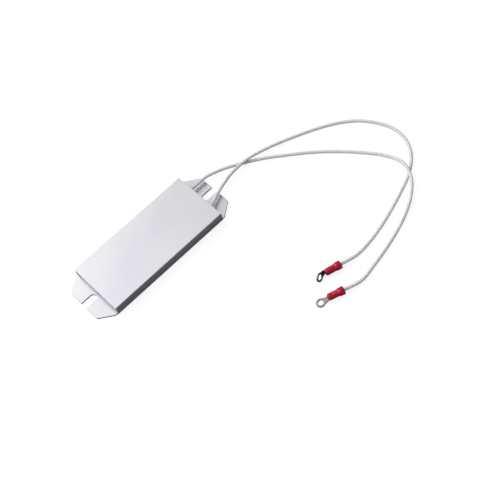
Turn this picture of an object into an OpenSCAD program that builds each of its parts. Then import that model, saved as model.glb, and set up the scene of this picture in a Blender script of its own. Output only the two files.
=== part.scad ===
// Flat aluminium housed power resistor with two insulated leads and ring terminals.
// X runs along the housing and the leads come out at +X; Z is up; the origin is the centre of the base.

/* [Housing] */
// Length of the closed tube, without the ears
housing_l = 85; // [70:0.5:95]
// Width of the tube
housing_w = 38.8; // [36:0.2:50]
// Height of the tube
housing_h = 7.2; // [6.8:0.1:10]
// Thickness of the bottom wall, which runs on as the ears
base_t = 1.2; // [0.8:0.1:1.4]
// Thickness of the top wall
top_t = 1.2; // [0.8:0.1:1.4]
// Thickness of the two side walls
side_t = 1.6; // [1:0.1:2]
// Radius of the four long outer edges
edge_r = 0.4; // [0.2:0.1:0.6]

/* [Ears] */
// How far each ear stands out past the tube
ear_l = 10.8; // [10:0.1:14]
// Width of the ear at its tip
ear_tip_w = 24.5; // [20:0.5:28]
// Length of the ear that keeps the full width
ear_straight = 1.6; // [1:0.1:2.5]
// Radius of the tip's corners
ear_tip_r = 1.8; // [1:0.1:2.5]
// Width of the open screw slot, for an M4 screw
slot_w = 4.7; // [4.3:0.1:6.4]
// Depth of the screw slot from the tip
slot_depth = 9.4; // [8:0.1:9.6]

/* [Resistance element] */
// Thickness of each mica sheet
mica_t = 0.8; // [0.5:0.1:0.9]
// Thickness of the mica card inside the winding
card_t = 0.8; // [0.5:0.1:0.9]
// Width of the card
card_w = 30; // [24:0.5:31]
// Distance from one turn of resistance ribbon to the next
pitch = 2.5; // [2:0.1:4]
// Width of the resistance ribbon
ribbon_w = 1.2; // [0.8:0.1:1.4]
// Thickness of the resistance ribbon
ribbon_t = 0.2; // [0.1:0.05:0.3]

/* [Leads] */
// Outside diameter of the lead's insulation
lead_d = 2.0; // [1.6:0.1:2.1]
// Diameter of the stranded conductor
conductor_d = 1.3; // [0.8:0.1:1.3]
// Distance between the two leads where they come out
lead_spacing = 18.5; // [12:0.5:22]

/* [Ring terminals] */
// Outside diameter of the ring
ring_d = 5.7; // [5.4:0.1:6.6]
// Diameter of the ring's hole, for an M3.5 screw
ring_hole_d = 3.7; // [3.2:0.1:4.3]
// Thickness of the terminal's metal
metal_t = 0.8; // [0.6:0.1:0.8]
// Length of the insulating sleeve
sleeve_l = 10; // [9:0.1:10.4]
// Outside diameter of the sleeve over the barrel
sleeve_d = 4.3; // [4.1:0.1:4.6]
// Outside diameter of the sleeve's flared mouth
mouth_d = 5.1; // [4.8:0.1:5.1]

/* [Output] */
// Which node is drawn

/* [Hidden] */
$fn = 48;
// clearance of a piece that slides into another
slip = 0.05;
// how far a cutting shape runs past the face it cuts
past = 1;

// inside of the tube
cavity_w = housing_w - 2 * side_t;
cavity_h = housing_h - base_t - top_t;
// each seal sits a little back from the end of the tube
seal_recess = 0.8;
seal_t = 3.2;
seal_in = housing_l / 2 - seal_recess - seal_t;

// from the leads' seal inwards: the insulation's end, the crimped joint, then the element
lead_x0 = seal_in - 3;
splice_l = 5;
splice_x1 = lead_x0 - 1;
splice_x0 = splice_x1 - splice_l;
conductor_x0 = splice_x1 - splice_l / 2;

// the element is a stack of sheets on the tube's floor
stack_w = card_w + 2;
stack_x0 = -seal_in + 1.5;
stack_x1 = splice_x0 - 2.5;
stack_l = stack_x1 - stack_x0;
card_z = base_t + mica_t + ribbon_t;
winding_top = card_z + card_t + ribbon_t;
stack_top = winding_top + mica_t;
// as many turns as the card takes; the first and last stay uncovered, for the strips' welds
turns = floor((stack_l - 4 + slip) / pitch);
first_turn = (stack_x0 + stack_x1 - turns * pitch) / 2;
last_turn = first_turn + turns * pitch;
bare_end = 1.8;

// nickel strips to the leads
strip_t = 0.3;
strip_w = 3;
strip_tail_w = 0.9;
tail_l = 2.5;
lead_y = lead_spacing / 2;
lead_z = stack_top + strip_t / 2;

// crimped joints between strips and conductors
splice_bore = conductor_d + 2 * slip;
splice_d = splice_bore + 1;

// ring terminals, drawn from the sleeve's mouth at x = 0 with the ring towards +X
lead_in = 4;
barrel_x0 = lead_in + 2 * slip;
barrel_x1 = 9.3;
barrel_bore = conductor_d + 2 * slip;
barrel_d = barrel_bore + 2 * metal_t;
neck_x = sleeve_l + 0.8;
ring_reach = 4.3;
neck_w = barrel_d;
// halfway to the ring's centre the neck is this share of the ring's width
neck_share = 0.7;
// the ring's plate lies this much lower than the barrel, and starts this far back in the trough
plate_drop = 0.05;
plate_lap = 0.4;
strands_out = 1;
sleeve_bore = barrel_d + 2 * slip;
mouth_l = 3;
mouth_wall = 0.5;
mouth_edge = 0.2;
cone_l = 0.8;
front_edge = 0.3;
crimp_depth = 0.3;
crimp_r = 5;
// the press sits this far past the middle of the barrel
crimp_offset = 0.6;

// where each sleeve's mouth lies, and how the terminal is turned: roll, pitch and yaw
terminal_a_at = [56.15, -107.75, 2.55];
terminal_a_turn = [5, 0, 161];
terminal_a_bend = -7;
terminal_b_at = [66.7, -94.75, 2.6];
terminal_b_turn = [-70, -1.5, 166];
terminal_b_bend = 30;

// points that each lead passes through, from the seal to the sleeve
end_x = housing_l / 2;
route_a = [
    [end_x - 0.5, lead_y, lead_z], [end_x + 4.5, lead_y, lead_z], [56.5, 8.75, 3.8], [67.75, 5.25, 2.6],
    [79.25, -0.25, 1], [89.5, -7.25, 1], [98.75, -15, 1], [108, -23.25, 1], [116.75, -32, 1],
    [125, -41.75, 1], [132.25, -51.75, 1.1], [138.25, -62.5, 1.9], [141, -74.5, 3],
    [136.5, -85.5, 3.1], [127.25, -93.75, 2.2], [116, -99.5, 1.2], [104.25, -103.5, 1],
    [92.5, -106.5, 1], [80.25, -108.75, 1], [68, -110.5, 1.4]];
route_b = [
    [end_x - 0.5, -lead_y, lead_z], [end_x + 1.5, 0.3 - lead_y, lead_z], [47, -7.4, 4.1],
    [51.5, -5.6, 4.1], [57, -3.6, 4], [68, -1, 3.7], [80.5, -0.75, 3.3], [92.5, -3, 2.4],
    [104, -6.5, 1.5], [115.5, -11.25, 1], [126.5, -16.75, 1], [137, -23.25, 1],
    [146.25, -31.5, 1], [152.75, -41.5, 1], [156.5, -53.5, 1], [154.5, -65.75, 1],
    [147.25, -75.75, 1], [137, -82.5, 1], [125.5, -87, 1], [114, -90.75, 1], [102, -94, 1],
    [90, -96.25, 1], [78, -97, 1.5]];
lead_sides = 8;
lead_rings = 40;

// ---- housing ----

// cross-section of the tube, Y to the right and Z up
module tube_section() {
    difference() {
        union() {
            translate([-housing_w / 2, edge_r])
                square([housing_w, housing_h - 2 * edge_r]);
            translate([-housing_w / 2 + edge_r, 0])
                square([housing_w - 2 * edge_r, housing_h]);
            for (side = [-1, 1])
                for (z = [edge_r, housing_h - edge_r])
                    translate([side * (housing_w / 2 - edge_r), z])
                        circle(r = edge_r);
        }
        translate([-cavity_w / 2, base_t])
            square([cavity_w, cavity_h]);
    }
}

// stands a Y-Z section up along X, centred on the origin
module along_x(length) {
    translate([-length / 2, 0, 0])
        rotate([90, 0, 90])
            linear_extrude(height = length)
                children();
}

// ear outline at the +X end: full width at the root, tapered to a rounded tip, with the open slot
module ear_outline() {
    root_x = housing_l / 2;
    tip_x = root_x + ear_l;
    root_y = housing_w / 2 - edge_r;
    tip_y = ear_tip_w / 2;
    taper = atan2(root_y - tip_y, ear_l - ear_straight);
    cut = ear_tip_r / tan((90 + taper) / 2);
    difference() {
        union() {
            polygon([
                [root_x - seal_recess, -root_y], [root_x + ear_straight, -root_y],
                [tip_x - cut * cos(taper), -tip_y - cut * sin(taper)], [tip_x, -tip_y + cut],
                [tip_x, tip_y - cut], [tip_x - cut * cos(taper), tip_y + cut * sin(taper)],
                [root_x + ear_straight, root_y], [root_x - seal_recess, root_y]]);
            for (side = [-1, 1])
                translate([tip_x - ear_tip_r, side * (tip_y - cut)])
                    circle(r = ear_tip_r);
        }
        translate([tip_x - slot_depth + slot_w / 2, 0])
            circle(d = slot_w);
        translate([tip_x - slot_depth + slot_w / 2, -slot_w / 2])
            square([slot_depth, slot_w]);
    }
}

module housing() {
    color([0.86, 0.86, 0.88])
        union() {
            along_x(housing_l)
                tube_section();
            for (end = [0, 1])
                mirror([end, 0, 0])
                    linear_extrude(height = base_t)
                        ear_outline();
        }
}

// ---- end seals and filler ----

// block that fills the tube from x0 to x1 with a sliding clearance
module tube_block(x0, x1) {
    translate([x0, -cavity_w / 2 + slip, base_t])
        cube([x1 - x0, cavity_w - 2 * slip, cavity_h - slip]);
}

// round bar along X at one of the leads' places
module bar(x0, x1, y, d) {
    translate([x0, y, lead_z])
        rotate([0, 90, 0])
            cylinder(d = d, h = x1 - x0);
}

module end_seal_leads() {
    color([0.62, 0.62, 0.6])
        difference() {
            tube_block(seal_in, seal_in + seal_t);
            for (side = [-1, 1])
                bar(seal_in - past, seal_in + seal_t + past, side * lead_y, lead_d + 2 * slip);
        }
}

module end_seal_blind() {
    color([0.62, 0.62, 0.6])
        tube_block(-seal_in - seal_t, -seal_in);
}

// room for a strip on its way to the joint
module strip_groove(x0, y) {
    translate([x0, y - strip_w / 2 - slip, winding_top])
        cube([splice_x0 - x0, strip_w + 2 * slip, stack_top + strip_t + slip - winding_top]);
}

module filler() {
    color([0.8, 0.77, 0.7])
        difference() {
            tube_block(-seal_in + slip, seal_in - slip);
            // room for the stack of card, winding and mica
            translate([stack_x0 - slip, -stack_w / 2 - slip, base_t - past])
                cube([stack_l + 2 * slip, stack_w + 2 * slip, stack_top - base_t + past]);
            strip_groove(stack_x0 - slip, -lead_y);
            strip_groove(last_turn - strip_w, lead_y);
            // room for the joints and for the leads behind the seal
            for (side = [-1, 1]) {
                bar(splice_x0 - slip, lead_x0 - slip, side * lead_y, splice_d + 2 * slip);
                bar(splice_x0, seal_in + past, side * lead_y, lead_d + 2 * slip);
            }
        }
}

// ---- resistance element ----

module lower_mica() {
    color([0.75, 0.68, 0.5])
        translate([stack_x0, -stack_w / 2, base_t])
            cube([stack_l, stack_w, mica_t]);
}

module upper_mica() {
    color([0.75, 0.68, 0.5])
        translate([first_turn + bare_end, -stack_w / 2, winding_top])
            cube([last_turn - first_turn - 2 * bare_end, stack_w, mica_t]);
}

module winding_card() {
    color([0.7, 0.62, 0.45])
        translate([stack_x0, -card_w / 2, card_z])
            cube([stack_l, card_w, card_t]);
}

// flat ribbon wound on the card: square across below, and one pitch aslant above
module winding() {
    edge = card_w / 2 + ribbon_t;
    half = ribbon_w / 2;
    color([0.55, 0.53, 0.5])
        union() {
            translate([0, 0, card_z - ribbon_t])
                linear_extrude(height = ribbon_t)
                    for (turn = [0:turns])
                        translate([first_turn + turn * pitch - half, -edge])
                            square([ribbon_w, 2 * edge]);
            translate([0, 0, card_z + card_t])
                linear_extrude(height = ribbon_t)
                    for (turn = [0:turns - 1])
                        translate([first_turn + turn * pitch, 0])
                            polygon([
                                [-half, -edge], [half, -edge],
                                [pitch + half, edge], [pitch - half, edge]]);
            // the ribbon's folds round the two edges of the card
            translate([0, 0, card_z - ribbon_t])
                linear_extrude(height = card_t + 2 * ribbon_t)
                    for (turn = [0:turns - 1]) {
                        translate([first_turn + turn * pitch - half, -edge])
                            square([ribbon_w, ribbon_t]);
                        translate([first_turn + (turn + 1) * pitch - half, edge - ribbon_t])
                            square([ribbon_w, ribbon_t]);
                    }
        }
}

// strip from the winding's last turn up to the joint of lead A
module lead_strip() {
    foot_x0 = last_turn - ribbon_w / 2;
    foot_x1 = last_turn + ribbon_w / 2;
    color([0.72, 0.72, 0.7])
        union() {
            translate([foot_x0, lead_y - strip_w / 2, winding_top])
                cube([ribbon_w + strip_t, strip_w, strip_t]);
            translate([foot_x1, lead_y - strip_w / 2, winding_top])
                cube([strip_t, strip_w, mica_t + strip_t]);
            translate([foot_x1, lead_y - strip_w / 2, stack_top])
                cube([splice_x0 - slip - foot_x1, strip_w, strip_t]);
            translate([foot_x1, lead_y - strip_tail_w / 2, stack_top])
                cube([splice_x0 + tail_l - slip - foot_x1, strip_tail_w, strip_t]);
        }
}

// strip from the winding's first turn back over the upper mica to the joint of lead B
module return_strip() {
    foot_x0 = first_turn - ribbon_w / 2;
    rise_x = first_turn + bare_end - strip_t;
    color([0.72, 0.72, 0.7])
        union() {
            translate([foot_x0, -lead_y - strip_w / 2, winding_top])
                cube([rise_x + strip_t - foot_x0, strip_w, strip_t]);
            translate([rise_x, -lead_y - strip_w / 2, winding_top])
                cube([strip_t, strip_w, mica_t + strip_t]);
            translate([rise_x, -lead_y - strip_w / 2, stack_top])
                cube([splice_x0 - slip - rise_x, strip_w, strip_t]);
            translate([rise_x, -lead_y - strip_tail_w / 2, stack_top])
                cube([splice_x0 + tail_l - slip - rise_x, strip_tail_w, strip_t]);
        }
}

module splice(y) {
    color([0.78, 0.78, 0.76])
        difference() {
            bar(splice_x0, splice_x1, y, splice_d);
            bar(splice_x0 - past, splice_x1 + past, y, splice_bore);
        }
}

// ---- leads ----

// place of a terminal: its own x axis runs from the sleeve's mouth to the ring
module at_terminal(at, turn) {
    translate(at)
        rotate(turn)
            children();
}

// point on a terminal's own axis, a distance along from the sleeve's mouth
function along_axis(at, turn, distance) =
    at + distance * [cos(turn[1]) * cos(turn[2]), cos(turn[1]) * sin(turn[2]), -sin(turn[1])];

// curve through points p and q, led by the point before and the point after
function between(before, p, q, after, t) =
    0.5 * (2 * p + (q - before) * t
           + (2 * before - 5 * p + 4 * q - after) * t * t
           + (3 * p - before - 3 * q + after) * t * t * t);

// a lead never lies lower than its own radius above the floor
function on_floor(p) = [p[0], p[1], max(p[2], lead_d / 2)];

function ring_centres(points) =
    let (last = len(points) - 1)
    [for (ring = [0:lead_rings - 1])
        let (u = min(ring * last / (lead_rings - 1), last - 0.000001),
             i = floor(u))
        on_floor(between(points[max(i - 1, 0)], points[i], points[i + 1], points[min(i + 2, last)], u - i))];

function unit(v) = v / norm(v);

// the corners of one ring, square to the lead's run
function ring_corners(centre, run) =
    let (side = unit(cross([0, 0, 1], run)),
         up = cross(unit(run), side))
    [for (corner = [0:lead_sides - 1])
        let (angle = (corner + 0.5) * 360 / lead_sides)
        centre + lead_d / 2 * (cos(angle) * side + sin(angle) * up)];

module lead_tube(points) {
    centres = ring_centres(points);
    last = lead_rings - 1;
    corners = [for (ring = [0:last])
        each ring_corners(centres[ring], centres[min(ring + 1, last)] - centres[max(ring - 1, 0)])];
    walls = [for (ring = [0:last - 1]) for (corner = [0:lead_sides - 1])
        let (next = (corner + 1) % lead_sides)
        [ring * lead_sides + corner, ring * lead_sides + next,
         (ring + 1) * lead_sides + next, (ring + 1) * lead_sides + corner]];
    first_cap = [for (corner = [lead_sides - 1:-1:0]) corner];
    last_cap = [for (corner = [0:lead_sides - 1]) last * lead_sides + corner];
    polyhedron(points = corners, faces = concat(walls, [first_cap, last_cap]), convexity = 8);
}

module lead_a() {
    color([0.8, 0.8, 0.79])
        lead_tube(concat([[lead_x0, lead_y, lead_z]], route_a,
                         [along_axis(terminal_a_at, terminal_a_turn, -1),
                          along_axis(terminal_a_at, terminal_a_turn, lead_in)]));
}

module lead_b() {
    color([0.8, 0.8, 0.79])
        lead_tube(concat([[lead_x0, -lead_y, lead_z]], route_b,
                         [along_axis(terminal_b_at, terminal_b_turn, -1),
                          along_axis(terminal_b_at, terminal_b_turn, lead_in)]));
}

// the bare ends of one stranded conductor: in the joint inside the tube, and in the terminal's barrel
module conductor(y, at, turn) {
    color([0.75, 0.6, 0.45])
        union() {
            bar(conductor_x0, lead_x0, y, conductor_d);
            at_terminal(at, turn)
                translate([lead_in + slip, 0, 0])
                    rotate([0, 90, 0])
                        cylinder(d = conductor_d, h = barrel_x1 + strands_out - lead_in - slip);
        }
}

// ---- ring terminals ----

// the flat part in its own plane: a neck that widens into the ring, with the screw hole
module ring_outline(lap) {
    difference() {
        union() {
            translate([-lap, -neck_w / 2])
                square([lap + past, neck_w]);
            polygon([[0, -neck_w / 2], [ring_reach / 2, -neck_share * ring_d / 2],
                     [ring_reach / 2, neck_share * ring_d / 2], [0, neck_w / 2]]);
            translate([ring_reach, 0])
                circle(d = ring_d);
        }
        translate([ring_reach, 0])
            circle(d = ring_hole_d);
    }
}

// one piece of metal: a barrel whose lower half runs on as a trough and flattens into the ring
module ring_terminal(at, turn, bend) {
    cut_angle = atan2(barrel_d - metal_t / 2, neck_x - barrel_x1);
    plate_z = -barrel_d / 2 + metal_t / 2 - plate_drop;
    color([0.8, 0.8, 0.79])
        at_terminal(at, turn) {
            difference() {
                translate([barrel_x0, 0, 0])
                    rotate([0, 90, 0])
                        cylinder(d = barrel_d, h = neck_x - barrel_x0);
                translate([barrel_x0 - past, 0, 0])
                    rotate([0, 90, 0])
                        cylinder(d = barrel_bore, h = neck_x - barrel_x0 + 2 * past);
                translate([barrel_x1, -barrel_d, barrel_d / 2])
                    rotate([0, cut_angle, 0])
                        translate([-past, 0, 0])
                            cube([4 * barrel_d, 2 * barrel_d, 4 * barrel_d]);
            }
            // the flat ring, and the rounded bend where it's set at an angle
            translate([neck_x, 0, plate_z]) {
                if (bend > 0)
                    rotate([90, 0, 0])
                        cylinder(d = metal_t, h = neck_w, center = true);
                rotate([0, -bend, 0])
                    translate([0, 0, -metal_t / 2])
                        linear_extrude(height = metal_t)
                            ring_outline(bend > 0 ? 0 : plate_lap);
            }
        }
}

// sleeve section, radius across and length up: flared mouth, cone, and the close-fitting front
module sleeve_section() {
    mouth_r = mouth_d / 2;
    front_r = sleeve_d / 2;
    bore_r = sleeve_bore / 2;
    polygon([
        [mouth_r - mouth_wall, 0], [mouth_r - mouth_edge, 0], [mouth_r, mouth_edge], [mouth_r, mouth_l],
        [front_r, mouth_l + cone_l], [front_r, sleeve_l - front_edge], [front_r - front_edge, sleeve_l],
        [bore_r, sleeve_l], [bore_r, lead_in], [mouth_r - mouth_wall, mouth_l - mouth_wall]]);
}

// the press leaves a shallow dent above and below
module sleeve() {
    crimp_x = (barrel_x0 + barrel_x1) / 2 + crimp_offset;
    color([0.75, 0.05, 0.15])
        difference() {
            rotate([90, 0, 90])
                rotate_extrude()
                    sleeve_section();
            for (side = [-1, 1])
                translate([crimp_x, 0, side * (sleeve_d / 2 + crimp_r - crimp_depth)])
                    rotate([90, 0, 0])
                        cylinder(r = crimp_r, h = 2 * sleeve_d, center = true);
        }
}

housing();
end_seal_leads();
end_seal_blind();
lower_mica();
winding_card();
winding();
upper_mica();
lead_strip();
return_strip();
splice(lead_y);  // splice_a
splice(-lead_y);  // splice_b
filler();
conductor(lead_y, terminal_a_at, terminal_a_turn);  // conductor_a
conductor(-lead_y, terminal_b_at, terminal_b_turn);  // conductor_b
lead_a();
lead_b();
ring_terminal(terminal_a_at, terminal_a_turn, terminal_a_bend);  // terminal_a
ring_terminal(terminal_b_at, terminal_b_turn, terminal_b_bend);  // terminal_b
at_terminal(terminal_a_at, terminal_a_turn) sleeve();  // sleeve_a
at_terminal(terminal_b_at, terminal_b_turn) sleeve();  // sleeve_b
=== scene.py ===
"""A flat aluminium housed power resistor with two insulated leads and crimped ring terminals."""

import math

import bmesh
import bpy
from mathutils import Matrix, Vector


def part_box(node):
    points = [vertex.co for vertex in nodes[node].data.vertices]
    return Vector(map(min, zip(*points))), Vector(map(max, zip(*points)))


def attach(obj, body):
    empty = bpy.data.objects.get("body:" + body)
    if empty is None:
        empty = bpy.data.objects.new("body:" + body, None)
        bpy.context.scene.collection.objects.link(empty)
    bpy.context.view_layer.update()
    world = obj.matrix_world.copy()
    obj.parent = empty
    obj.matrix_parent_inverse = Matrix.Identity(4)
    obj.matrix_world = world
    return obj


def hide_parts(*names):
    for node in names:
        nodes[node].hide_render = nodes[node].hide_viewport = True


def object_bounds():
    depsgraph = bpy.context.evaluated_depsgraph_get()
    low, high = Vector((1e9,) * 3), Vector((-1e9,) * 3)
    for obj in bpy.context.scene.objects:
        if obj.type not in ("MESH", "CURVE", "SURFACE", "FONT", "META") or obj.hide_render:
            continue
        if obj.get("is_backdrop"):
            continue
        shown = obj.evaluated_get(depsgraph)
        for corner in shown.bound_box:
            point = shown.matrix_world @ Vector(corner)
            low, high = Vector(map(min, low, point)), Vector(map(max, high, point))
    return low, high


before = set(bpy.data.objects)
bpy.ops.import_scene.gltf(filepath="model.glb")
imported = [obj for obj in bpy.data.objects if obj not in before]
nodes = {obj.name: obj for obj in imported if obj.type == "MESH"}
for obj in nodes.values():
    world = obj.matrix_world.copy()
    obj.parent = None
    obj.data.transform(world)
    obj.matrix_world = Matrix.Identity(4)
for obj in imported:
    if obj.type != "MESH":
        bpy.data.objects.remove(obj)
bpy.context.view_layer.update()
MM = 0.001


# ---- Housing ----
# One length of flat aluminium tube, extruded, sawn off, and milled at both ends so that its
# bottom wall runs on as a slotted ear. The edges are broken by tumbling, and the whole is
# etched and clear anodised. Nothing is fixed to it: the rest slides in from the ends.


def colour(code):
    """An sRGB hex colour as linear RGBA."""
    parts = [int(code[i : i + 2], 16) / 255 for i in (1, 3, 5)]
    return [p / 12.92 if p <= 0.04045 else ((p + 0.055) / 1.055) ** 2.4 for p in parts] + [1]


def add(tree, kind, inputs=None, stops=None, **settings):
    """A node with its settings; an input is a value, or the output that it takes."""
    made = tree.nodes.new(kind)
    for name, value in settings.items():
        setattr(made, name, value)
    for name, value in (inputs or {}).items():
        if isinstance(value, bpy.types.NodeSocket):
            tree.links.new(value, made.inputs[name])
        else:
            made.inputs[name].default_value = value
    if stops:
        ramp = made.color_ramp.elements
        while len(ramp) < len(stops):
            ramp.new(1)
        for element, (place, value) in zip(ramp, stops):
            element.position, element.color = place, value
    return made


def new_material(name):
    """An empty material, its node tree, and its object coordinates turned to millimetres."""
    made = bpy.data.materials.new(name)
    made.use_nodes = True
    tree = made.node_tree
    tree.nodes.clear()
    place = add(tree, "ShaderNodeTexCoord")
    in_mm = add(
        tree,
        "ShaderNodeVectorMath",
        {0: place.outputs["Object"], "Scale": 1 / MM},
        operation="SCALE",
    )
    return made, tree, in_mm.outputs["Vector"]


def finish_material(tree, inputs):
    """The surface shader that ends a material's tree."""
    surface = add(tree, "ShaderNodeBsdfPrincipled", inputs)
    add(tree, "ShaderNodeOutputMaterial", {"Surface": surface.outputs["BSDF"]})


def solid_of(node_name):
    """A CAD node's loose triangles as one closed shell with whole faces."""
    shell = bmesh.new()
    shell.from_mesh(nodes[node_name].data)
    bmesh.ops.remove_doubles(shell, verts=shell.verts, dist=0.0005 * MM)
    bmesh.ops.dissolve_limit(
        shell, angle_limit=math.radians(0.5), verts=shell.verts, edges=shell.edges
    )
    return shell


def break_edges(shell, size, sharper_than=40, steps=2):
    """Rounds off the sharp outer edges of a shell."""
    sharp = [
        e
        for e in shell.edges
        if e.is_manifold and e.calc_face_angle_signed() > math.radians(sharper_than)
    ]
    bmesh.ops.bevel(
        shell,
        geom=sharp,
        offset=size,
        segments=steps,
        profile=0.5,
        affect="EDGES",
        clamp_overlap=True,
    )


def as_piece(shell, name, materials, replaced=(), smooth_below=40, flat_over=4):
    """A shell as a named piece, smooth but at its sharp edges and round its large flat faces."""
    for face in shell.faces:
        face.smooth = True
    for edge in shell.edges:
        turned = edge.calc_face_angle(math.pi) > math.radians(smooth_below)
        beside_flat = any(f.calc_area() > flat_over * MM**2 for f in edge.link_faces)
        edge.smooth = not (turned or beside_flat)
    mesh = bpy.data.meshes.new(name)
    shell.to_mesh(mesh)
    shell.free()
    for material in materials:
        mesh.materials.append(material)
    return place_piece(mesh, name, replaced)


def place_piece(mesh, name, replaced=()):
    """A finished mesh as a piece of the part."""
    piece = bpy.data.objects.new(name, mesh)
    bpy.context.scene.collection.objects.link(piece)
    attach(piece, "root")
    if replaced:
        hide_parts(*replaced)
    return piece


# Clear anodised aluminium, etched first: a pale satin skin, slightly cool, in which the
# extrusion die's faint lines still run along the tube.
anodised, tree, mm = new_material("anodised_aluminium")
# the die's lines are some 0.1 mm apart, drawn 0.3 mm apart so that they show, and tens of mm long
along = add(tree, "ShaderNodeMapping", {"Vector": mm, "Scale": (0.02, 3.0, 3.0)})
die_lines = add(
    tree, "ShaderNodeTexNoise", {"Vector": along.outputs[0], "Scale": 1.0, "Detail": 4.0}
)
# the etch leaves soft clouds, some 30 mm across
clouds = add(tree, "ShaderNodeTexNoise", {"Vector": mm, "Scale": 0.035, "Detail": 2.0})
skin = add(
    tree,
    "ShaderNodeValToRGB",
    {0: clouds.outputs[0]},
    [(0.35, colour("#CDCCD3")), (0.65, colour("#D3D3D7"))],
)
satin = add(tree, "ShaderNodeMapRange", {0: die_lines.outputs[0], "To Min": 0.34, "To Max": 0.4})
# the etched grain is about 0.1 mm across
grain = add(tree, "ShaderNodeTexNoise", {"Vector": mm, "Scale": 9.0, "Detail": 2.0})
relief = add(
    tree,
    "ShaderNodeMath",
    {0: die_lines.outputs[0], 1: 0.6, 2: grain.outputs[0]},
    operation="MULTIPLY_ADD",
)
bump = add(
    tree, "ShaderNodeBump", {"Height": relief.outputs[0], "Strength": 0.1, "Distance": 0.001 * MM}
)
finish_material(
    tree,
    {
        "Base Color": skin.outputs[0],
        "Metallic": 0.75,
        "Roughness": satin.outputs[0],
        "Normal": bump.outputs[0],
    },
)

# The same metal where saw and cutter went across it: brighter, with the cutter's marks
# standing up the cut. They are 0.15 mm apart, drawn 0.4 mm apart.
milled, tree, mm = new_material("milled_aluminium")
across = add(tree, "ShaderNodeMapping", {"Vector": mm, "Scale": (2.5, 2.5, 0.1)})
cutter_marks = add(
    tree, "ShaderNodeTexNoise", {"Vector": across.outputs[0], "Scale": 1.0, "Detail": 3.0}
)
skin = add(
    tree,
    "ShaderNodeValToRGB",
    {0: cutter_marks.outputs[0]},
    [(0.3, colour("#CFCFD4")), (0.7, colour("#DCDCE0"))],
)
satin = add(
    tree, "ShaderNodeMapRange", {0: cutter_marks.outputs[0], "To Min": 0.26, "To Max": 0.4}
)
bump = add(
    tree,
    "ShaderNodeBump",
    {"Height": cutter_marks.outputs[0], "Strength": 0.3, "Distance": 0.01 * MM},
)
finish_material(
    tree,
    {
        "Base Color": skin.outputs[0],
        "Metallic": 0.8,
        "Roughness": satin.outputs[0],
        "Normal": bump.outputs[0],
    },
)

tumbled_edge = 0.08 * MM
# the tube ends at X = 42.5 mm either way: upright faces from just short of there are cut faces
milled_from = 42.4 * MM
shell = solid_of("housing")
break_edges(shell, tumbled_edge)
for face in shell.faces:
    upright = abs(face.normal.z) < 0.5
    if upright and abs(face.calc_center_median().x) > milled_from:
        face.material_index = 1
as_piece(shell, "housing_extrusion", [anodised, milled], ["housing"])


# ---- Resistance element ----
# A thin mica card with a flat nickel-chrome ribbon wound on it, between two bare mica sheets
# that keep it off the housing. The stack lies on the tube's floor and nothing holds it there
# but the filler around it.


def dress(node_name, material):
    """Gives a CAD node that stays its real finish."""
    nodes[node_name].material_slots[0].material = material


# Muscovite mica, split and pressed into sheet: amber-grey, made of overlapping flakes that
# each catch the light in their own way.
mica, tree, mm = new_material("pressed_mica")
# the flakes are 2 to 4 mm across
flakes = add(tree, "ShaderNodeTexVoronoi", {"Vector": mm, "Scale": 0.35})
skin = add(
    tree,
    "ShaderNodeValToRGB",
    {0: flakes.outputs["Color"]},
    [(0.2, colour("#A08C5E")), (0.55, colour("#BCA878")), (0.9, colour("#D2C49C"))],
)
glint = add(
    tree, "ShaderNodeMapRange", {0: flakes.outputs["Distance"], "To Min": 0.22, "To Max": 0.5}
)
bump = add(
    tree,
    "ShaderNodeBump",
    {"Height": flakes.outputs["Distance"], "Strength": 0.3, "Distance": 0.02 * MM},
)
finish_material(
    tree,
    {
        "Base Color": skin.outputs[0],
        "Roughness": glint.outputs[0],
        "IOR": 1.58,
        "Normal": bump.outputs[0],
    },
)
for sheet in ("lower_mica", "winding_card", "upper_mica"):
    dress(sheet, mica)

# Nickel-chrome ribbon, rolled and bright annealed: a dark warm grey with fine rolling lines.
nichrome, tree, mm = new_material("nickel_chrome_ribbon")
# the lines are some 0.15 mm apart and 10 mm long, across the card as the ribbon runs
lengthwise = add(tree, "ShaderNodeMapping", {"Vector": mm, "Scale": (6.0, 0.1, 6.0)})
rolling = add(
    tree, "ShaderNodeTexNoise", {"Vector": lengthwise.outputs[0], "Scale": 1.0, "Detail": 3.0}
)
skin = add(
    tree,
    "ShaderNodeValToRGB",
    {0: rolling.outputs[0]},
    [(0.3, colour("#7C7672")), (0.7, colour("#9A938D"))],
)
satin = add(tree, "ShaderNodeMapRange", {0: rolling.outputs[0], "To Min": 0.25, "To Max": 0.42})
finish_material(
    tree, {"Base Color": skin.outputs[0], "Metallic": 1.0, "Roughness": satin.outputs[0]}
)

pitch, ribbon_w, ribbon_t = 2.5, 1.2, 0.2
low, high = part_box("winding_card")
card_half, card_base, card_top = high.y / MM, low.z / MM, high.z / MM
low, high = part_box("winding")
first_turn = low.x / MM + ribbon_w / 2
turns = round((high.x - low.x) / MM / pitch - ribbon_w / pitch)

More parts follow.
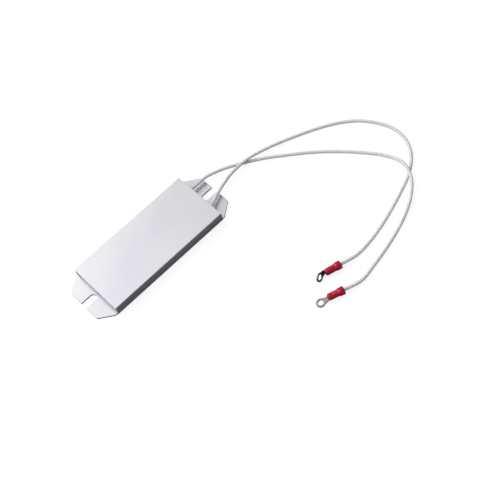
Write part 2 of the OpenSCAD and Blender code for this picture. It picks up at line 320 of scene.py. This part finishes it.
# one turn: up the near edge, aslant across the top, down the far edge, and straight back below
one_turn = bmesh.new()
reach = card_half + ribbon_t / 2
bottom, top = card_base - ribbon_t / 2, card_top + ribbon_t / 2
corner = ribbon_t / 2
course = [
    (0, -reach, bottom + corner), (0, -reach, top - corner), (0, corner - reach, top),
    (pitch, reach - corner, top), (pitch, reach, top - corner), (pitch, reach, bottom + corner),
    (pitch, reach - corner, bottom), (pitch, corner - reach, bottom),
    (pitch, -reach, bottom + corner),
]
sections = []
for k, at in enumerate(course):
    before, after = course[max(k - 1, 0)], course[min(k + 1, len(course) - 1)]
    rise = Vector((0, after[1] - before[1], after[2] - before[2])).normalized()
    out = Vector((0, rise.z, -rise.y)) * ribbon_t / 2
    middle = Vector(at)
    section = []
    for step, way in ((-0.5, -1), (0.5, -1), (0.5, 1), (-0.5, 1)):
        spot = middle + Vector((step * ribbon_w, 0, 0)) + out * way
        section.append(one_turn.verts.new(spot * MM))
    sections.append(section)
for here, there in zip(sections, sections[1:]):
    for k in range(4):
        near = (k + 1) % 4
        one_turn.faces.new([here[k], here[near], there[near], there[k]])
one_turn.faces.new(sections[0])
one_turn.faces.new(list(reversed(sections[-1])))
bmesh.ops.recalc_face_normals(one_turn, faces=one_turn.faces)
turn_mesh = bpy.data.meshes.new("ribbon_winding")
one_turn.to_mesh(turn_mesh)
one_turn.free()


def socket_in(group, name, kind, value=None):
    """A named input on a Geometry Nodes tree, with its value at the start."""
    made = group.interface.new_socket(name, in_out="INPUT", socket_type=kind)
    if value is not None:
        made.default_value = value
    return made


def grown(mesh, group, values, name):
    """The plain mesh that a Geometry Nodes tree makes from a mesh and its named inputs."""
    holder = bpy.data.objects.new(name + "_holder", mesh)
    bpy.context.scene.collection.objects.link(holder)
    growth = holder.modifiers.new("growth", "NODES")
    growth.node_group = group
    for socket in group.interface.items_tree:
        if socket.in_out == "INPUT" and socket.name in values:
            growth[socket.identifier] = values[socket.name]
    seen = holder.evaluated_get(bpy.context.evaluated_depsgraph_get())
    made = bpy.data.meshes.new_from_object(seen)
    made.name = name
    holder.modifiers.remove(growth)
    bpy.data.objects.remove(holder)
    return made


# the turns, one pitch apart: what comes in is a single turn
windings = bpy.data.node_groups.new("even_turns", "GeometryNodeTree")
socket_in(windings, "One turn", "NodeSocketGeometry")
socket_in(windings, "Turns", "NodeSocketInt", 10)
socket_in(windings, "Pitch", "NodeSocketFloat", 0.0025)
socket_in(windings, "First turn", "NodeSocketFloat", 0.0)
socket_in(windings, "Metal", "NodeSocketMaterial")
windings.interface.new_socket("Winding", in_out="OUTPUT", socket_type="NodeSocketGeometry")
given = add(windings, "NodeGroupInput")
step = add(windings, "ShaderNodeCombineXYZ", {"X": given.outputs["Pitch"]})
start = add(windings, "ShaderNodeCombineXYZ", {"X": given.outputs["First turn"]})
places = add(
    windings,
    "GeometryNodeMeshLine",
    {
        "Count": given.outputs["Turns"],
        "Start Location": start.outputs[0],
        "Offset": step.outputs[0],
    },
)
set_out = add(
    windings,
    "GeometryNodeInstanceOnPoints",
    {"Points": places.outputs[0], "Instance": given.outputs["One turn"]},
)
real = add(windings, "GeometryNodeRealizeInstances", {"Geometry": set_out.outputs[0]})
joined = add(
    windings, "GeometryNodeMergeByDistance", {"Geometry": real.outputs[0], "Distance": 0.001 * MM}
)
metal = add(
    windings,
    "GeometryNodeSetMaterial",
    {"Geometry": joined.outputs[0], "Material": given.outputs["Metal"]},
)
add(windings, "NodeGroupOutput", {"Winding": metal.outputs[0]})
ribbon = grown(
    turn_mesh,
    windings,
    {"Turns": turns, "Pitch": pitch * MM, "First turn": first_turn * MM, "Metal": nichrome},
    "ribbon_winding",
)
place_piece(ribbon, "ribbon_winding", ["winding"])


# ---- Connecting strips and joints ----
# Two strips of rolled nickel, spot welded to the winding's first and last turns. One comes
# back over the upper mica. Each narrows to a tail that a tinned sleeve crimps to a conductor.

# Pure nickel, cold rolled: warm silver, with rolling lines along the strip.
nickel, tree, mm = new_material("rolled_nickel")
# the lines are some 0.2 mm apart and 12 mm long
lengthwise = add(tree, "ShaderNodeMapping", {"Vector": mm, "Scale": (0.08, 5.0, 5.0)})
rolling = add(
    tree, "ShaderNodeTexNoise", {"Vector": lengthwise.outputs[0], "Scale": 1.0, "Detail": 3.0}
)
skin = add(
    tree,
    "ShaderNodeValToRGB",
    {0: rolling.outputs[0]},
    [(0.3, colour("#B4AEA2")), (0.7, colour("#CBC6BB"))],
)
satin = add(tree, "ShaderNodeMapRange", {0: rolling.outputs[0], "To Min": 0.22, "To Max": 0.38})
finish_material(
    tree, {"Base Color": skin.outputs[0], "Metallic": 1.0, "Roughness": satin.outputs[0]}
)
dress("lead_strip", nickel)
dress("return_strip", nickel)

# Copper, electro-tinned: grey silver with slightly duller clouds where the tin has been rubbed.
tinned, tree, mm = new_material("tinned_copper")
# the rubbed clouds are about 1 mm across
clouds = add(tree, "ShaderNodeTexNoise", {"Vector": mm, "Scale": 0.9, "Detail": 4.0})
skin = add(
    tree,
    "ShaderNodeValToRGB",
    {0: clouds.outputs[0]},
    [(0.35, colour("#6F6B67")), (0.65, colour("#86827D"))],
)
satin = add(tree, "ShaderNodeMapRange", {0: clouds.outputs[0], "To Min": 0.28, "To Max": 0.42})
bump = add(
    tree, "ShaderNodeBump", {"Height": clouds.outputs[0], "Strength": 0.2, "Distance": 0.02 * MM}
)
finish_material(
    tree,
    {
        "Base Color": skin.outputs[0],
        "Metallic": 1.0,
        "Roughness": satin.outputs[0],
        "Normal": bump.outputs[0],
    },
)
cut_edge = 0.1 * MM
for end in "ab":
    shell = solid_of(f"splice_{end}")
    break_edges(shell, cut_edge)
    as_piece(shell, f"crimped_joint_{end}", [tinned], [f"splice_{end}"])


# ---- Filler and end seals ----
# Magnesia powder is vibrated in around the element to carry its heat to the walls. A plug of
# silicone cement, poured and cured a little below the sawn edge, closes each end.

# Packed magnesia: off-white, matt, with grains up to 0.5 mm.
magnesia, tree, mm = new_material("packed_magnesia")
grains = add(tree, "ShaderNodeTexVoronoi", {"Vector": mm, "Scale": 2.0})
skin = add(
    tree,
    "ShaderNodeValToRGB",
    {0: grains.outputs["Color"]},
    [(0.2, colour("#C8C0AE")), (0.8, colour("#DDD6C8"))],
)
bump = add(
    tree,
    "ShaderNodeBump",
    {"Height": grains.outputs["Distance"], "Strength": 0.6, "Distance": 0.15 * MM},
)
finish_material(
    tree, {"Base Color": skin.outputs[0], "Roughness": 0.95, "Normal": bump.outputs[0]}
)
dress("filler", magnesia)

# Silicone cement: light grey and matt, with fine sand in it and a few pinholes from bubbles.
cement, tree, mm = new_material("silicone_cement")
# the sand is 0.4 mm across, and the bubbles stand 1.5 mm apart
sand = add(tree, "ShaderNodeTexNoise", {"Vector": mm, "Scale": 2.5, "Detail": 5.0})
skin = add(
    tree,
    "ShaderNodeValToRGB",
    {0: sand.outputs[0]},
    [(0.35, colour("#B9B8B4")), (0.65, colour("#D2D1CD"))],
)
pinholes = add(tree, "ShaderNodeTexVoronoi", {"Vector": mm, "Scale": 0.7})
dips = add(
    tree,
    "ShaderNodeMapRange",
    {
        0: pinholes.outputs["Distance"],
        "From Min": 0.05,
        "From Max": 0.2,
        "To Min": -1.0,
        "To Max": 0.0,
    },
)
relief = add(
    tree,
    "ShaderNodeMath",
    {0: sand.outputs[0], 1: 0.5, 2: dips.outputs[0]},
    operation="MULTIPLY_ADD",
)
bump = add(
    tree, "ShaderNodeBump", {"Height": relief.outputs[0], "Strength": 0.5, "Distance": 0.2 * MM}
)
finish_material(
    tree, {"Base Color": skin.outputs[0], "Roughness": 0.8, "Normal": bump.outputs[0]}
)
dress("end_seal_leads", cement)
dress("end_seal_blind", cement)


# ---- Leads ----
# Nineteen fine tinned copper strands in white silicone, 2 mm over the insulation. Each lead
# comes out of the cement through its own hole, dips to the table and lies there in a loose loop.

lead_d = 2.0 * MM
# in the cement: how far each lead lies to its side and up, and where its insulation starts
lead_y, lead_z, lead_x0 = 9.25, 4.15, 35.5
SIDES = {"a": 1, "b": -1}
low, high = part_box("end_seal_leads")
# the points that each lead passes, in millimetres
ROUTES = {
    "a": [
        (42, 9.25, 4.15), (47, 9.25, 4.15), (56.5, 8.75, 3.8), (67.75, 5.25, 2.6),
        (79.25, -0.25, 1), (89.5, -7.25, 1), (98.75, -15, 1), (108, -23.25, 1),
        (116.75, -32, 1), (125, -41.75, 1),
        (132.25, -51.75, 1.1), (138.25, -62.5, 1.9), (141, -74.5, 3), (136.5, -85.5, 3.1),
        (127.25, -93.75, 2.2), (116, -99.5, 1.2), (104.25, -103.5, 1), (92.5, -106.5, 1),
        (80.25, -108.75, 1), (68, -110.5, 1.4),
    ],
    "b": [
        (42, -9.25, 4.15), (44, -8.95, 4.15), (47, -7.4, 4.1), (51.5, -5.6, 4.1), (57, -3.6, 4),
        (68, -1, 3.7), (80.5, -0.75, 3.3), (92.5, -3, 2.4), (104, -6.5, 1.5), (115.5, -11.25, 1),
        (126.5, -16.75, 1), (137, -23.25, 1), (146.25, -31.5, 1), (152.75, -41.5, 1),
        (156.5, -53.5, 1), (154.5, -65.75, 1), (147.25, -75.75, 1), (137, -82.5, 1),
        (125.5, -87, 1), (114, -90.75, 1), (102, -94, 1), (90, -96.25, 1), (78, -97, 1.5),
    ],
}
# each terminal's place: the middle of its sleeve's mouth, and its roll, pitch and yaw
TERMINALS = {
    "a": ((56.15, -107.75, 2.55), (5, 0, 161)),
    "b": ((66.7, -94.75, 2.6), (-70, -1.5, 166)),
}
# how far the insulation reaches into the sleeve
lead_in = 4


def terminal_place(end):
    """The matrix that sets a terminal in its place; its own X runs from mouth to ring."""
    at, turn = TERMINALS[end]
    placed = Matrix.Translation(Vector(at) * MM)
    for angle, axis in zip(reversed(turn), "ZYX"):
        placed = placed @ Matrix.Rotation(math.radians(angle), 4, axis)
    return placed


def run_of_lead(end):
    """The points along a lead's middle, on the same curve that its solid follows."""
    place = terminal_place(end)
    points = [Vector((lead_x0, SIDES[end] * lead_y, lead_z)) * MM]
    points += [Vector(p) * MM for p in ROUTES[end]]
    points += [place @ Vector((x * MM, 0, 0)) for x in (-1, lead_in)]
    last = len(points) - 1
    run = []
    steps = 180
    for step in range(steps):
        u = min(step * last / (steps - 1), last - 1e-6)
        i = int(u)
        t = u - i
        before, p, q, after = (points[min(max(k, 0), last)] for k in (i - 1, i, i + 1, i + 2))
        at = 0.5 * (
            2 * p
            + (q - before) * t
            + (2 * before - 5 * p + 4 * q - after) * t * t
            + (3 * p - before - 3 * q + after) * t * t * t
        )
        at.z = max(at.z, lead_d / 2)
        run.append(at)
    return run


def tube(run, radius, sides):
    """A closed tube along a run, with a UV map in millimetres: round it, and along it."""
    shell = bmesh.new()
    uv = shell.loops.layers.uv.new("around_and_along")
    rings = []
    far = [0.0]
    for here, there in zip(run, run[1:]):
        far.append(far[-1] + (there - here).length)
    for k, at in enumerate(run):
        way = (run[min(k + 1, len(run) - 1)] - run[max(k - 1, 0)]).normalized()
        across = Vector((0, 0, 1)).cross(way).normalized()
        up = way.cross(across)
        ring = []
        for side in range(sides):
            angle = 2 * math.pi * side / sides
            outward = math.cos(angle) * across + math.sin(angle) * up
            ring.append(shell.verts.new(at + radius * outward))
        rings.append(ring)
    girth = 2 * math.pi * radius / MM
    for k, (here, there) in enumerate(zip(rings, rings[1:])):
        for side in range(sides):
            near = (side + 1) % sides
            face = shell.faces.new([here[side], here[near], there[near], there[side]])
            corners = [(side, k), (side + 1, k), (side + 1, k + 1), (side, k + 1)]
            for loop, (step, ring) in zip(face.loops, corners):
                loop[uv].uv = (step / sides * girth, far[ring] / MM)
    shell.faces.new(list(reversed(rings[0])))
    shell.faces.new(rings[-1])
    bmesh.ops.recalc_face_normals(shell, faces=shell.faces)
    return shell, far[-1]


# White silicone rubber, extruded on the strands and cured: neutral white and softly satin,
# with faint drawing lines along the lead and a little dust clinging to it.
silicone, tree, mm = new_material("white_silicone")
unrolled = add(tree, "ShaderNodeUVMap", uv_map="around_and_along")
# the drawing lines are some 0.25 mm apart round the lead, and 20 mm long
lengthwise = add(
    tree, "ShaderNodeMapping", {"Vector": unrolled.outputs[0], "Scale": (4.0, 0.05, 1.0)}
)
drawn = add(
    tree, "ShaderNodeTexNoise", {"Vector": lengthwise.outputs[0], "Scale": 1.0, "Detail": 2.0}
)
# the dust lies in patches some 2.5 mm across
dust = add(tree, "ShaderNodeTexNoise", {"Vector": mm, "Scale": 0.4, "Detail": 5.0})
skin = add(
    tree,
    "ShaderNodeValToRGB",
    {0: dust.outputs[0]},
    [(0.3, colour("#E9E9E8")), (0.6, colour("#F1F1F0"))],
)
bump = add(
    tree, "ShaderNodeBump", {"Height": drawn.outputs[0], "Strength": 0.1, "Distance": 0.004 * MM}
)
finish_material(
    tree,
    {
        "Base Color": skin.outputs[0],
        "Roughness": 0.42,
        "IOR": 1.43,
        "Subsurface Weight": 0.5,
        "Subsurface Radius": (1.0, 1.0, 1.0),
        "Subsurface Scale": 1.5 * MM,
        "Normal": bump.outputs[0],
    },
)

lead_sides = 16
lead_runs = {end: run_of_lead(end) for end in "ab"}
lengths = {}
for end in "ab":
    shell, lengths[end] = tube(lead_runs[end], lead_d / 2, lead_sides)
    as_piece(
        shell, f"lead_{end}_silicone", [silicone], [f"lead_{end}"]
    )

# Fine copper wire, tinned before it was stranded: the copper's warmth shows through the tin.
strand_metal, tree, mm = new_material("tinned_copper_strands")
# the worn spots are about 0.3 mm across
worn = add(tree, "ShaderNodeTexNoise", {"Vector": mm, "Scale": 3.0, "Detail": 3.0})
skin = add(
    tree,
    "ShaderNodeValToRGB",
    {0: worn.outputs[0]},
    [(0.4, colour("#B9AFA2")), (0.75, colour("#C08A62"))],
)
satin = add(tree, "ShaderNodeMapRange", {0: worn.outputs[0], "To Min": 0.2, "To Max": 0.35})
finish_material(
    tree, {"Base Color": skin.outputs[0], "Metallic": 1.0, "Roughness": satin.outputs[0]}
)

# nineteen strands: one in the middle, then rings of six and twelve, all twisted together
bundle = bpy.data.node_groups.new("twisted_strands", "GeometryNodeTree")
socket_in(bundle, "Nothing", "NodeSocketGeometry")
socket_in(bundle, "Strand diameter", "NodeSocketFloat", 0.00026)
socket_in(bundle, "Length", "NodeSocketFloat", 0.005)
socket_in(bundle, "Twist per metre", "NodeSocketFloat", 400.0)
socket_in(bundle, "Metal", "NodeSocketMaterial")
bundle.interface.new_socket("Bundle", in_out="OUTPUT", socket_type="NodeSocketGeometry")
given = add(bundle, "NodeGroupInput")
thickness = given.outputs["Strand diameter"]
thin = add(bundle, "ShaderNodeMath", {0: thickness, 1: 0.5}, operation="MULTIPLY")
# twelve strands just touch on a ring of this many diameters
wide = add(bundle, "ShaderNodeMath", {0: thickness, 1: 1.93}, operation="MULTIPLY")
inner = add(bundle, "GeometryNodeMeshCircle", {"Vertices": 6, "Radius": thickness})
outer = add(bundle, "GeometryNodeMeshCircle", {"Vertices": 12, "Radius": wide.outputs[0]})
middle = add(bundle, "GeometryNodeMeshLine", {"Count": 1})
spots = add(bundle, "GeometryNodeJoinGeometry")
for ring in (inner, outer, middle):
    bundle.links.new(ring.outputs[0], spots.inputs[0])
wire = add(
    bundle,
    "GeometryNodeMeshCylinder",
    {
        "Vertices": 8,
        "Side Segments": 8,
        "Radius": thin.outputs[0],
        "Depth": given.outputs["Length"],
    },
)
laid = add(
    bundle,
    "GeometryNodeInstanceOnPoints",
    {"Points": spots.outputs[0], "Instance": wire.outputs[0]},
)
real = add(bundle, "GeometryNodeRealizeInstances", {"Geometry": laid.outputs[0]})
here = add(bundle, "GeometryNodeInputPosition")
parts = add(bundle, "ShaderNodeSeparateXYZ", {0: here.outputs[0]})
angle = add(
    bundle,
    "ShaderNodeMath",
    {0: parts.outputs["Z"], 1: given.outputs["Twist per metre"]},
    operation="MULTIPLY",
)
wound = add(
    bundle,
    "ShaderNodeVectorRotate",
    {"Vector": here.outputs[0], "Axis": (0, 0, 1), "Angle": angle.outputs[0]},
)
twisted = add(
    bundle, "GeometryNodeSetPosition", {"Geometry": real.outputs[0], "Position": wound.outputs[0]}
)
metal = add(
    bundle,
    "GeometryNodeSetMaterial",
    {"Geometry": twisted.outputs[0], "Material": given.outputs["Metal"]},
)
add(bundle, "NodeGroupOutput", {"Bundle": metal.outputs[0]})

strand_d = 0.26
# bare from the joint to the insulation, and again from the insulation to beyond the barrel
bare_inside = (29.5, lead_x0)
bare_in_terminal = (lead_in + 0.05, 10.3)
upright_to_x = Matrix.Rotation(math.radians(90), 4, "Y")
for end in "ab":
    inside = Matrix.Translation(Vector((0, SIDES[end] * lead_y, lead_z)) * MM)
    both_ends = bmesh.new()
    ends = ((inside, bare_inside), (terminal_place(end), bare_in_terminal))
    for place, (start, stop) in ends:
        values = {
            "Strand diameter": strand_d * MM,
            "Length": (stop - start) * MM,
            "Metal": strand_metal,
        }
        run = grown(bpy.data.meshes.new("nothing"), bundle, values, "strands")
        halfway = Matrix.Translation(Vector(((start + stop) / 2, 0, 0)) * MM)
        run.transform(place @ halfway @ upright_to_x)
        both_ends.from_mesh(run)
        bpy.data.meshes.remove(run)
    as_piece(
        both_ends,
        f"strands_{end}",
        [strand_metal],
        [f"conductor_{end}"],
        smooth_below=50,
    )


# ---- Ring terminals ----
# Each is stamped from copper sheet, rolled into a barrel at one end, brazed shut and tinned.
# The bare strands are pressed into the barrel. Lead B's ring has been bent up from its barrel.

for end in "ab":
    shell = solid_of(f"terminal_{end}")
    break_edges(shell, cut_edge)
    as_piece(
        shell, f"ring_terminal_{end}", [tinned], [f"terminal_{end}"]
    )


# ---- Sleeves ----
# A moulded vinyl tube over each barrel, with a funnel mouth that takes the insulation. The
# press that crimps the barrel through it leaves a shallow dent above and below.

# Soft vinyl, moulded in a polished tool: a deep clear crimson with a wet-looking shine, and a
# little darker and duller in the waves that the press leaves.
vinyl, tree, mm = new_material("red_vinyl")
# the waves are about 2 mm across
waves = add(tree, "ShaderNodeTexNoise", {"Vector": mm, "Scale": 0.5, "Detail": 3.0})
skin = add(
    tree,
    "ShaderNodeValToRGB",
    {0: waves.outputs[0]},
    [(0.35, colour("#B6002C")), (0.65, colour("#D20038"))],
)
shine = add(tree, "ShaderNodeMapRange", {0: waves.outputs[0], "To Min": 0.1, "To Max": 0.18})
bump = add(
    tree, "ShaderNodeBump", {"Height": waves.outputs[0], "Strength": 0.3, "Distance": 0.1 * MM}
)
finish_material(
    tree,
    {
        "Base Color": skin.outputs[0],
        "Roughness": shine.outputs[0],
        "IOR": 1.54,
        "Specular IOR Level": 0.5,
        "Normal": bump.outputs[0],
    },
)

# the wall's section, distance along and radius: out along the inside, back along the outside
SLEEVE = [
    (10, 1.57), (4, 1.57), (3.4, 1.75), (2.5, 2.05), (0.25, 2.05), (0.07, 2.12), (0, 2.3),
    (0.07, 2.48), (0.25, 2.55), (2.6, 2.55), (3.0, 2.53), (3.35, 2.42), (3.65, 2.24), (3.95, 2.16),
    (4.3, 2.15), (5.2, 2.15), (6.2, 2.15), (7.2, 2.15), (8.2, 2.15), (9.2, 2.15), (9.6, 2.13),
    (9.85, 2.04), (9.97, 1.9), (10, 1.75),
]
# the sleeve's outer radius, and one that lies between its inside and its outside
sleeve_r, within_wall = 2.15, 1.9
# the press leaves a shallow round-bottomed dent: where it is, its radius, depth and half length
crimp_x, crimp_r, crimp_depth, crimp_reach = 7.3, 5.0, 0.3, 1.71
round_steps = 40
for end in "ab":
    shell = bmesh.new()
    hoops = []
    for x, radius in SLEEVE:
        hoop = []
        for k in range(round_steps):
            angle = 2 * math.pi * k / round_steps
            y, z = radius * math.cos(angle), radius * math.sin(angle)
            if radius > within_wall and abs(x - crimp_x) < crimp_reach:
                rise = crimp_r - math.sqrt(crimp_r**2 - (x - crimp_x) ** 2)
                limit = sleeve_r - crimp_depth + rise
                z = max(-limit, min(z, limit))
            hoop.append(shell.verts.new(Vector((x, y, z)) * MM))
        hoops.append(hoop)
    for k, hoop in enumerate(hoops):
        other = hoops[(k + 1) % len(hoops)]
        for step in range(round_steps):
            near = (step + 1) % round_steps
            shell.faces.new([hoop[step], hoop[near], other[near], other[step]])
    bmesh.ops.transform(shell, matrix=terminal_place(end), verts=shell.verts)
    bmesh.ops.recalc_face_normals(shell, faces=shell.faces)
    as_piece(
        shell,
        f"vinyl_sleeve_{end}",
        [vinyl],
        [f"sleeve_{end}"],
        smooth_below=60,
    )


# ---- Stage ----
# A plain floor that looks white to the eye and keeps a light shadow. To diffuse rays, and to
# glossy rays shorter than 50 mm, it is painted grey: painted shade round the object, which the
# metal's low sides mirror.
reach = 4
sheet = bpy.data.meshes.new("floor")
corners = [(-reach, -reach, 0), (reach, -reach, 0), (reach, reach, 0), (-reach, reach, 0)]
sheet.from_pydata(corners, [], [(0, 1, 2, 3)])
floor = bpy.data.objects.new("floor", sheet)
bpy.context.scene.collection.objects.link(floor)
floor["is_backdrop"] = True
ground, tree, mm = new_material("white_floor")
path = add(tree, "ShaderNodeLightPath")
# a glossy ray shorter than this sees the painted shade close to the metal, not the white floor
near_by = 50 * MM
far_off = add(
    tree, "ShaderNodeMath", {0: path.outputs["Ray Length"], 1: near_by}, operation="GREATER_THAN"
)
mirrored = add(
    tree,
    "ShaderNodeMath",
    {0: path.outputs["Is Glossy Ray"], 1: far_off.outputs[0]},
    operation="MULTIPLY",
)
looked_at = add(
    tree,
    "ShaderNodeMath",
    {0: path.outputs["Is Camera Ray"], 1: path.outputs["Is Transmission Ray"]},
)
seen = add(
    tree, "ShaderNodeMath", {0: looked_at.outputs[0], 1: mirrored.outputs[0]}, use_clamp=True
)
# painted shade: the grey that diffuse rays and short glossy rays see in place of the white floor
floor_painted_shade = add(tree, "ShaderNodeBsdfDiffuse", {"Color": colour("#838389")})
glow = add(tree, "ShaderNodeEmission", {"Color": (1, 1, 1, 1), "Strength": 0.82})
shade = add(tree, "ShaderNodeBsdfDiffuse", {"Color": (0.3, 0.3, 0.3, 1)})
white = add(tree, "ShaderNodeAddShader", {0: glow.outputs[0], 1: shade.outputs[0]})
both = add(
    tree, "ShaderNodeMixShader", {0: seen.outputs[0], 1: floor_painted_shade.outputs[0], 2: white.outputs[0]}
)
add(tree, "ShaderNodeOutputMaterial", {"Surface": both.outputs[0]})
floor.data.materials.append(ground)

# One wide soft light, high on the +Y side and towards the blind end, in a dim even room, with
# a smaller and brighter patch of lamp high on the +Y side.
world = bpy.data.worlds.new("studio")
bpy.context.scene.world = world
world.use_nodes = True
tree = world.node_tree
tree.nodes.clear()
toward = add(tree, "ShaderNodeTexCoord")
key = Vector((-0.44, 0.58, 0.68)).normalized()
facing = add(
    tree,
    "ShaderNodeVectorMath",
    {0: toward.outputs["Generated"], 1: key},
    operation="DOT_PRODUCT",
)
soft = add(
    tree,
    "ShaderNodeMapRange",
    {
        0: facing.outputs["Value"],
        "From Min": 0.55,
        "From Max": 0.95,
        "To Min": 0.27,
        "To Max": 1.84,
    },
    interpolation_type="SMOOTHSTEP",
)
lamp_way = Vector((0.0, 0.69, 0.72)).normalized()
at_lamp = add(
    tree,
    "ShaderNodeVectorMath",
    {0: toward.outputs["Generated"], 1: lamp_way},
    operation="DOT_PRODUCT",
)
lamp = add(
    tree,
    "ShaderNodeMapRange",
    {
        0: at_lamp.outputs["Value"],
        "From Min": 0.98,
        "From Max": 0.994,
        "To Min": 0.0,
        "To Max": 2.6,
    },
    interpolation_type="SMOOTHSTEP",
)
studio = add(tree, "ShaderNodeMath", {0: soft.outputs[0], 1: lamp.outputs[0]})
path = add(tree, "ShaderNodeLightPath")
looked_at = add(
    tree,
    "ShaderNodeMath",
    {0: path.outputs["Is Camera Ray"], 1: path.outputs["Is Transmission Ray"]},
    use_clamp=True,
)
level = add(tree, "ShaderNodeMix", {0: looked_at.outputs[0], 2: studio.outputs[0], 3: 1.0})
light = add(tree, "ShaderNodeBackground", {"Color": (1, 1, 1, 1), "Strength": level.outputs[0]})
add(tree, "ShaderNodeOutputWorld", {"Surface": light.outputs[0]})

camera = bpy.data.objects.new("camera", bpy.data.cameras.new("camera"))
bpy.context.scene.collection.objects.link(camera)
camera.data.lens, camera.data.sensor_width = 82.63, 36
turn, rise, roll = math.radians(-28.009), math.radians(59.498), math.radians(-17.987)
back = Vector((math.sin(turn) * math.cos(rise), -math.cos(turn) * math.cos(rise), math.sin(rise)))
right = Vector((math.cos(turn), math.sin(turn), 0))
up = back.cross(right)
across = right * math.cos(roll) + up * math.sin(roll)
upward = -right * math.sin(roll) + up * math.cos(roll)
target = Vector((38.867, -46.815, 0)) * MM
distance = 678.4 * MM
frame_axes = Matrix((across, upward, back)).transposed().to_4x4()
camera.matrix_world = Matrix.Translation(target + back * distance) @ frame_axes
camera.data.clip_start, camera.data.clip_end = 0.01, 20
bpy.context.scene.camera = camera
bpy.context.scene.view_settings.view_transform = "Standard"

low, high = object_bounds()
